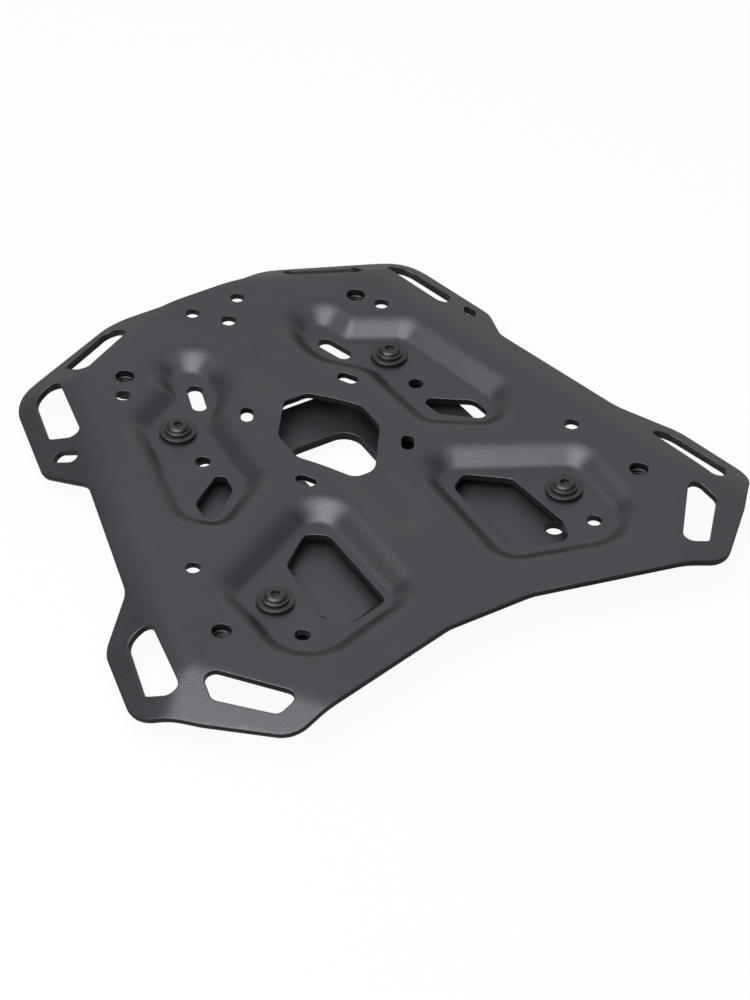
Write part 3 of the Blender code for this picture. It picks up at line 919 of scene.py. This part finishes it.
def thread(name: str, outer: float, inner: float, pitch: float, low: float, high: float) -> Piece:
    """A helical thread surface, trimmed level at both ends.

    Args:
        name: The name of the piece.
        outer: The radius at the outer flats.
        inner: The radius at the inner flats.
        pitch: The rise of one turn.
        low: The lower end.
        high: The upper end.

    Returns:
        The new object about the Z axis.
    """
    deselect()
    bpy.ops.mesh.primitive_plane_add(size=MM, location=(0, 0, 0))
    obj = bpy.context.object
    obj.name = name
    bpy.ops.object.mode_set(mode="EDIT")
    bpy.ops.mesh.select_all(action="SELECT")
    bpy.ops.mesh.merge(type="CENTER")
    start = low - pitch
    bpy.ops.transform.translate(value=(outer * MM, 0, start * MM))
    flank = (outer - inner) * math.tan(THREAD_ANGLE)
    root = pitch * THREAD_ROOT
    crest = pitch - 2 * flank - root
    for across, up in ((0, root), (inner - outer, flank), (0, crest), (outer - inner, flank)):
        bpy.ops.mesh.extrude_vertices_move(TRANSFORM_OT_translate={"value": (across * MM, 0, up * MM)})
    bpy.ops.object.mode_set(mode="OBJECT")
    screw = obj.modifiers.new("helix", "SCREW")
    screw.screw_offset, screw.iterations = pitch * MM, math.ceil((high - low) / pitch) + 2
    screw.steps = screw.render_steps = THREAD_STEPS
    screw.use_merge_vertices, screw.merge_threshold = True, 0.002 * MM
    bpy.ops.object.modifier_apply(modifier="helix")
    bpy.ops.object.mode_set(mode="EDIT")
    for z, above in ((low, False), (high, True)):
        bpy.ops.mesh.select_all(action="SELECT")
        side = {"clear_outer": above, "clear_inner": not above}
        bpy.ops.mesh.bisect(plane_co=(0, 0, z * MM), plane_no=(0, 0, 1), **side)
    bpy.ops.object.mode_set(mode="OBJECT")
    bpy.ops.object.shade_smooth_by_angle(angle=math.radians(25))
    return obj


def joined(pieces: Sequence[Piece]) -> Piece:
    """Joins pieces into the first of them."""
    deselect()
    for piece in pieces:
        piece.select_set(True)
    bpy.context.view_layer.objects.active = pieces[0]
    bpy.ops.object.join()
    return pieces[0]


def axis_map(piece: Piece) -> None:
    """Gives a piece a UV map of its plan about its own axis, 10 mm to the unit."""
    mesh = piece.data
    for old in list(mesh.uv_layers):
        mesh.uv_layers.remove(old)
    layer = mesh.uv_layers.new(name="axis")
    for loop in mesh.loops:
        x, y, _ = mesh.vertices[loop.vertex_index].co
        layer.data[loop.index].uv = (x * 100, y * 100)


def dressed(piece: Piece, material: bpy.types.Material, node: str) -> Piece:
    """Gives a piece its material and its place among the solids.

    Args:
        piece: The piece, at the origin.
        material: Its finish.
        node: The solid that it stands for.

    Returns:
        The piece.
    """
    piece.data.materials.clear()
    piece.data.materials.append(material)
    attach(piece, BODY)
    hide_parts(node)
    log.info("%s: %d faces", piece.name, len(piece.data.polygons))
    return piece


# How far the copies of a fastener are turned about their axes, in radians
TURNS = {"front": 0.35, "rear": 1.1, "left": 0.5, "right": 0.0}


def repeated(master: Piece, kind: str, material: bpy.types.Material) -> None:
    """Copies a piece to its four places, each copy with its own mesh.

    Args:
        master: The piece about the Z axis, with its low end at z = 0.
        kind: The start of the solids' names.
        material: Its finish.
    """
    axis_map(master)
    for end in ("front", "rear"):
        for side in ("left", "right"):
            node = f"{kind}_{end}_{side}"
            copy = master.copy()
            copy.data = master.data.copy()
            copy.name = f"{kind}_{end}_{side}_fine"
            bpy.context.scene.collection.objects.link(copy)
            turn = TURNS[end] + TURNS[side]
            copy.data.transform(Euler((0, 0, turn)).to_matrix().to_4x4())
            copy.location = RACK.foot(node)
            settle(copy)
            dressed(copy, material, node)
    bpy.data.objects.remove(master)


@dataclass
class ScrewStack:
    """A flanged button-head screw with its washer, spacer and nut."""

    shank: float = 6.0
    flange: float = 13.0
    flange_thickness: float = 1.1
    dome: float = 10.6
    dome_flat: float = 6.2
    head_height: float = 3.0
    socket: float = 4.0
    socket_depth: float = 2.0
    point_below_head: float = 22.2
    pitch: float = 1.0
    thread_depth: float = 0.55
    thread_length: float = 4.0
    chamfer: float = 0.6
    flange_edge: tuple[Pair, ...] = (
        (0.25, 0.0), (0.06, 0.1), (0.0, 0.3), (0.0, 0.65), (0.1, 0.95), (0.35, 1.1)
    )
    washer: float = 18.0
    washer_thickness: float = 1.6
    spacer: float = 13.0
    spacer_length: float = 3.4
    bore: float = 6.6
    nut_across_flats: float = 10.0
    nut_thickness: float = 5.0

    def screw(self) -> Piece:
        """Models the screw, with its point at z = 0."""
        head, shank = self.point_below_head, self.shank / 2
        core = shank - self.thread_depth
        profile = [(core - self.chamfer, 0.0), (core, self.chamfer), (core, self.thread_length)]
        profile += [(shank, self.thread_length + 0.3), (shank, head)]
        profile += [(self.flange / 2 - back, head + up) for back, up in self.flange_edge]
        flange, foot = head + self.flange_thickness, 0.12
        profile += [(self.dome / 2 + 0.25, flange + 0.03)]
        rise = self.head_height - self.flange_thickness - foot
        for angle in np.linspace(0, math.pi / 2, 9):
            radius = (self.dome_flat + (self.dome - self.dome_flat) * math.cos(angle)) / 2
            profile.append((radius, flange + foot + rise * math.sin(angle)))
        piece = turned("screw", profile)
        top = head + self.head_height
        socket = hexagon("socket", self.socket, top - self.socket_depth, top + 1)
        cut(piece, socket, "DIFFERENCE")
        soften(piece, 50)
        low, high = self.chamfer + 0.1, self.thread_length + 0.2
        helix = thread("screw_thread", core, shank, self.pitch, low, high)
        return joined([piece, helix])

    def ring(self, name: str, outer: float, height: float, edge: float) -> Piece:
        """A washer or spacer with rounded outer edges.

        Args:
            name: The name of the piece.
            outer: Its width in millimetres.
            height: Its height.
            edge: The radius of its edges.

        Returns:
            The new object about the Z axis.
        """
        inner, out = self.bore / 2, outer / 2
        arc = [(edge * (1 - math.sin(t)), edge * (1 - math.cos(t))) for t in np.linspace(0, math.pi / 2, 5)]
        profile = [(inner, 0.0)] + [(out - back, fall) for back, fall in arc]
        profile += [(out - back, height - fall) for back, fall in reversed(arc)]
        profile += [(inner + 0.15, height), (inner, height - 0.15)]
        piece = turned(name, profile, ring=True)
        activate(piece)
        bpy.ops.object.shade_smooth_by_angle(angle=SMOOTH_ANGLE)
        return piece

    def build(self) -> None:
        """Builds the four screws, washers, spacers and nuts."""
        black, zinc = Metal.BLACKENED.value.material(), Metal.ZINC.value.material()
        repeated(self.screw(), "screw", black)
        washer = self.ring("washer", self.washer, self.washer_thickness, 0.5)
        repeated(washer, "washer", black)
        spacer = self.ring("spacer", self.spacer, self.spacer_length, 0.3)
        repeated(spacer, "spacer", zinc)
        nut = hexagon_nut("nut", self.nut_across_flats, self.bore, self.nut_thickness)
        repeated(nut, "nut", zinc)


def hexagon_nut(
    name: str, across_flats: float, bore: float, height: float, collar: Sequence[Pair] = ()
) -> Piece:
    """A hexagonal nut with chamfered corners and a countersunk bore.

    Args:
        name: The name of the piece.
        across_flats: Its width in millimetres.
        bore: The width of its bore.
        height: Its height.
        collar: Radii and heights of a round collar at its low end.

    Returns:
        The new object about the Z axis, with its low end at z = 0.
    """
    corner = across_flats / math.sqrt(3)
    rise = 0.95 * (corner - across_flats / 2) * math.tan(THREAD_ANGLE)
    inner, wide = across_flats / 2 - 0.1, corner + 0.05
    sink, rise = 0.45, rise + 0.05
    low = collar[-1][1] if collar else 0.0
    profile = [(bore / 2, sink), (bore / 2 + sink, 0), *collar, (inner, low), (wide, low + rise)]
    profile += [(wide, height - rise), (inner, height), (bore / 2 + sink, height)]
    profile += [(bore / 2, height - sink)]
    lens = turned("lens", profile, ring=True)
    piece = hexagon(name, across_flats, -1, height + 1)
    cut(piece, lens, "INTERSECT")
    soften(piece, 25)
    return piece


@dataclass
class WeldNut:
    """A threaded nut under the plate, seen through its hole."""

    across_flats: float = 13.0
    thickness: float = 6.5
    bore: float = 6.7
    thread_outer: float = 8.0
    pitch: float = 1.25
    inset: float = 0.35
    collar: tuple[Pair, ...] = ((5.0, 0.0), (5.4, 0.4), (5.4, 2.4))

    def build(self) -> None:
        """Builds the four weld nuts with their threads."""
        outer, low, high = self.thread_outer, self.inset, self.thickness - self.inset
        body = hexagon_nut("weld_nut", self.across_flats, outer + 0.05, self.thickness, self.collar)
        helix = thread("nut_thread", outer / 2, self.bore / 2, self.pitch, low, high)
        repeated(joined([body, helix]), "weld_nut", Metal.PLAIN.value.material())


# The studio


@dataclass(frozen=True)
class Softbox:
    """A square soft lamp: its place, its side and power, the point that it faces, its tint."""

    name: str
    place: Triple
    side: float
    power: float
    target: Triple = (0.0, 0.0, 0.02)
    colour: Triple = (1.0, 0.97, 0.92)

    def build(self) -> None:
        """Adds the lamp."""
        lamp = bpy.data.lights.new(self.name, "AREA")
        lamp.shape, lamp.size = "SQUARE", self.side
        lamp.energy, lamp.color = self.power, self.colour
        obj = bpy.data.objects.new(self.name, lamp)
        obj.location = self.place
        way = Vector(self.target) - Vector(self.place)
        obj.rotation_euler = way.to_track_quat("-Z", "Y").to_euler()
        bpy.context.scene.collection.objects.link(obj)


@dataclass
class Studio:
    """The camera at the photograph's view, soft light and a white ground."""

    place: Triple = (-0.71634, -1.14694, 1.17468)
    turn: Triple = (48.8947, -1.5351, -31.2702)
    lens: float = 135.25
    fill: float = 0.15
    wall: float = 0.46
    wall_foot: float = 0.23
    foot_span: Pair = (-0.1, 0.5)
    fade_span: Pair = (1.0, 0.65)
    far_side: Triple = (0.64, 0.77, 0.0)
    far_span: Pair = (0.22, 0.85)
    dark: float = 0.175
    ceiling: float = 0.33
    ceiling_span: Pair = (0.65, 0.9)
    skirt: float = 0.2
    skirt_span: Pair = (0.36, 1.0)
    ground: float = 0.32
    floor_size: float = 8.0
    floor_tones: Pair = (0.3, 0.9)
    floor_glow: float = 0.94
    softboxes: tuple[Softbox, ...] = (
        Softbox("key_middle", (-0.39, -0.13, 0.79), 0.62, 3.4),
        Softbox("key_edge", (-0.39, -0.13, 0.79), 0.95, 6.0),
        Softbox("key_spill", (-0.39, -0.13, 0.79), 1.4, 3.1),
    )

    def camera(self) -> None:
        """Adds the camera."""
        data = bpy.data.cameras.new("camera")
        data.lens, data.sensor_width, data.sensor_fit = self.lens, 36.0, "AUTO"
        data.clip_end = 50.0
        camera = bpy.data.objects.new("camera", data)
        camera.location = self.place
        camera.rotation_euler = Euler([math.radians(angle) for angle in self.turn])
        bpy.context.scene.collection.objects.link(camera)
        bpy.context.scene.camera = camera

    def backdrop(self) -> None:
        """Makes the world white to the eye, and softer in reflections and as a light.

        In reflections it is a wall on the far side, a ceiling and a glow about the key.
        """
        world = bpy.data.worlds.new("studio")
        world.use_nodes = True
        bpy.context.scene.world = world
        graph = Graph(world.node_tree)
        way = graph.add("TexCoord").outputs["Generated"]
        up = graph.add("SeparateXYZ", {"Vector": way}).outputs["Z"]
        wall = graph.mapped(up, self.foot_span, (self.wall_foot, self.wall))
        wall = graph.maths("MULTIPLY", graph.mapped(up, self.fade_span, (0.0, 1.0)), wall)
        far = graph.mapped(self.towards(graph, way, self.far_side), self.far_span, (0.0, 1.0))
        high = graph.mapped(up, self.ceiling_span, (self.dark, self.dark + self.ceiling))
        lamp = self.towards(graph, way, Vector(self.softboxes[0].place).normalized())
        lamp = graph.mapped(lamp, self.skirt_span, (0.0, self.skirt))
        glossy = graph.maths("ADD", graph.maths("MULTIPLY_ADD", wall, far, high), lamp)
        strength = graph.mixed(graph.seen(), self.fill, glossy)
        eye = graph.add("LightPath").outputs["Is Camera Ray"]
        shader = graph.tree.nodes["Background"]
        graph.give(shader.inputs["Strength"], graph.mixed(eye, strength, 1.0))
        shader.inputs["Color"].default_value = (1.0, 1.0, 1.0, 1.0)

    def towards(self, graph: Graph, way: Socket, direction: Sequence[float]) -> Socket:
        """How far a ray's direction agrees with another, from -1 to 1."""
        dot = graph.add("VectorMath", {0: way, 1: direction}, operation="DOT_PRODUCT")
        return dot.outputs["Value"]

    def floor(self) -> None:
        """Adds a white floor that keeps a faint shadow."""
        deselect()
        bpy.ops.mesh.primitive_plane_add(size=self.floor_size, location=(0, 0, -0.3 * MM))
        floor = bpy.context.object
        floor.name = "floor"
        graph = Surface("white_floor")
        eye = graph.add("LightPath").outputs["Is Camera Ray"]
        tones = [(tone,) * 3 for tone in self.floor_tones]
        graph.shade(Base_Color=graph.blend(eye, *tones), Roughness=0.9, Specular_IOR_Level=0.0)
        glow = graph.add("Emission", {"Strength": graph.mapped(eye, (0.0, 1.0), (self.ground, 1.0))})
        share = graph.maths("MULTIPLY", graph.seen(), self.floor_glow)
        mix = graph.add("MixShader", {0: share, 1: graph.shader.outputs[0], 2: glow.outputs[0]})
        graph.give(graph.tree.nodes["Material Output"].inputs["Surface"], mix.outputs[0])
        floor.data.materials.append(graph.material)

    def build(self) -> None:
        """Builds the whole studio."""
        bpy.context.scene.view_settings.view_transform = "Standard"
        self.camera()
        self.backdrop()
        self.floor()
        for softbox in self.softboxes:
            softbox.build()


def main() -> None:
    """Builds the rack and its studio."""
    logging.basicConfig(level=logging.INFO, format="%(name)s: %(message)s")
    PressedPlate().build(PowderCoat())
    AdapterPlate().build(PowderCoat(name="adapter_powder_coat", roughness=0.42))
    ScrewStack().build()
    WeldNut().build()
    Studio().build()


if __name__ == "__main__":
    main()
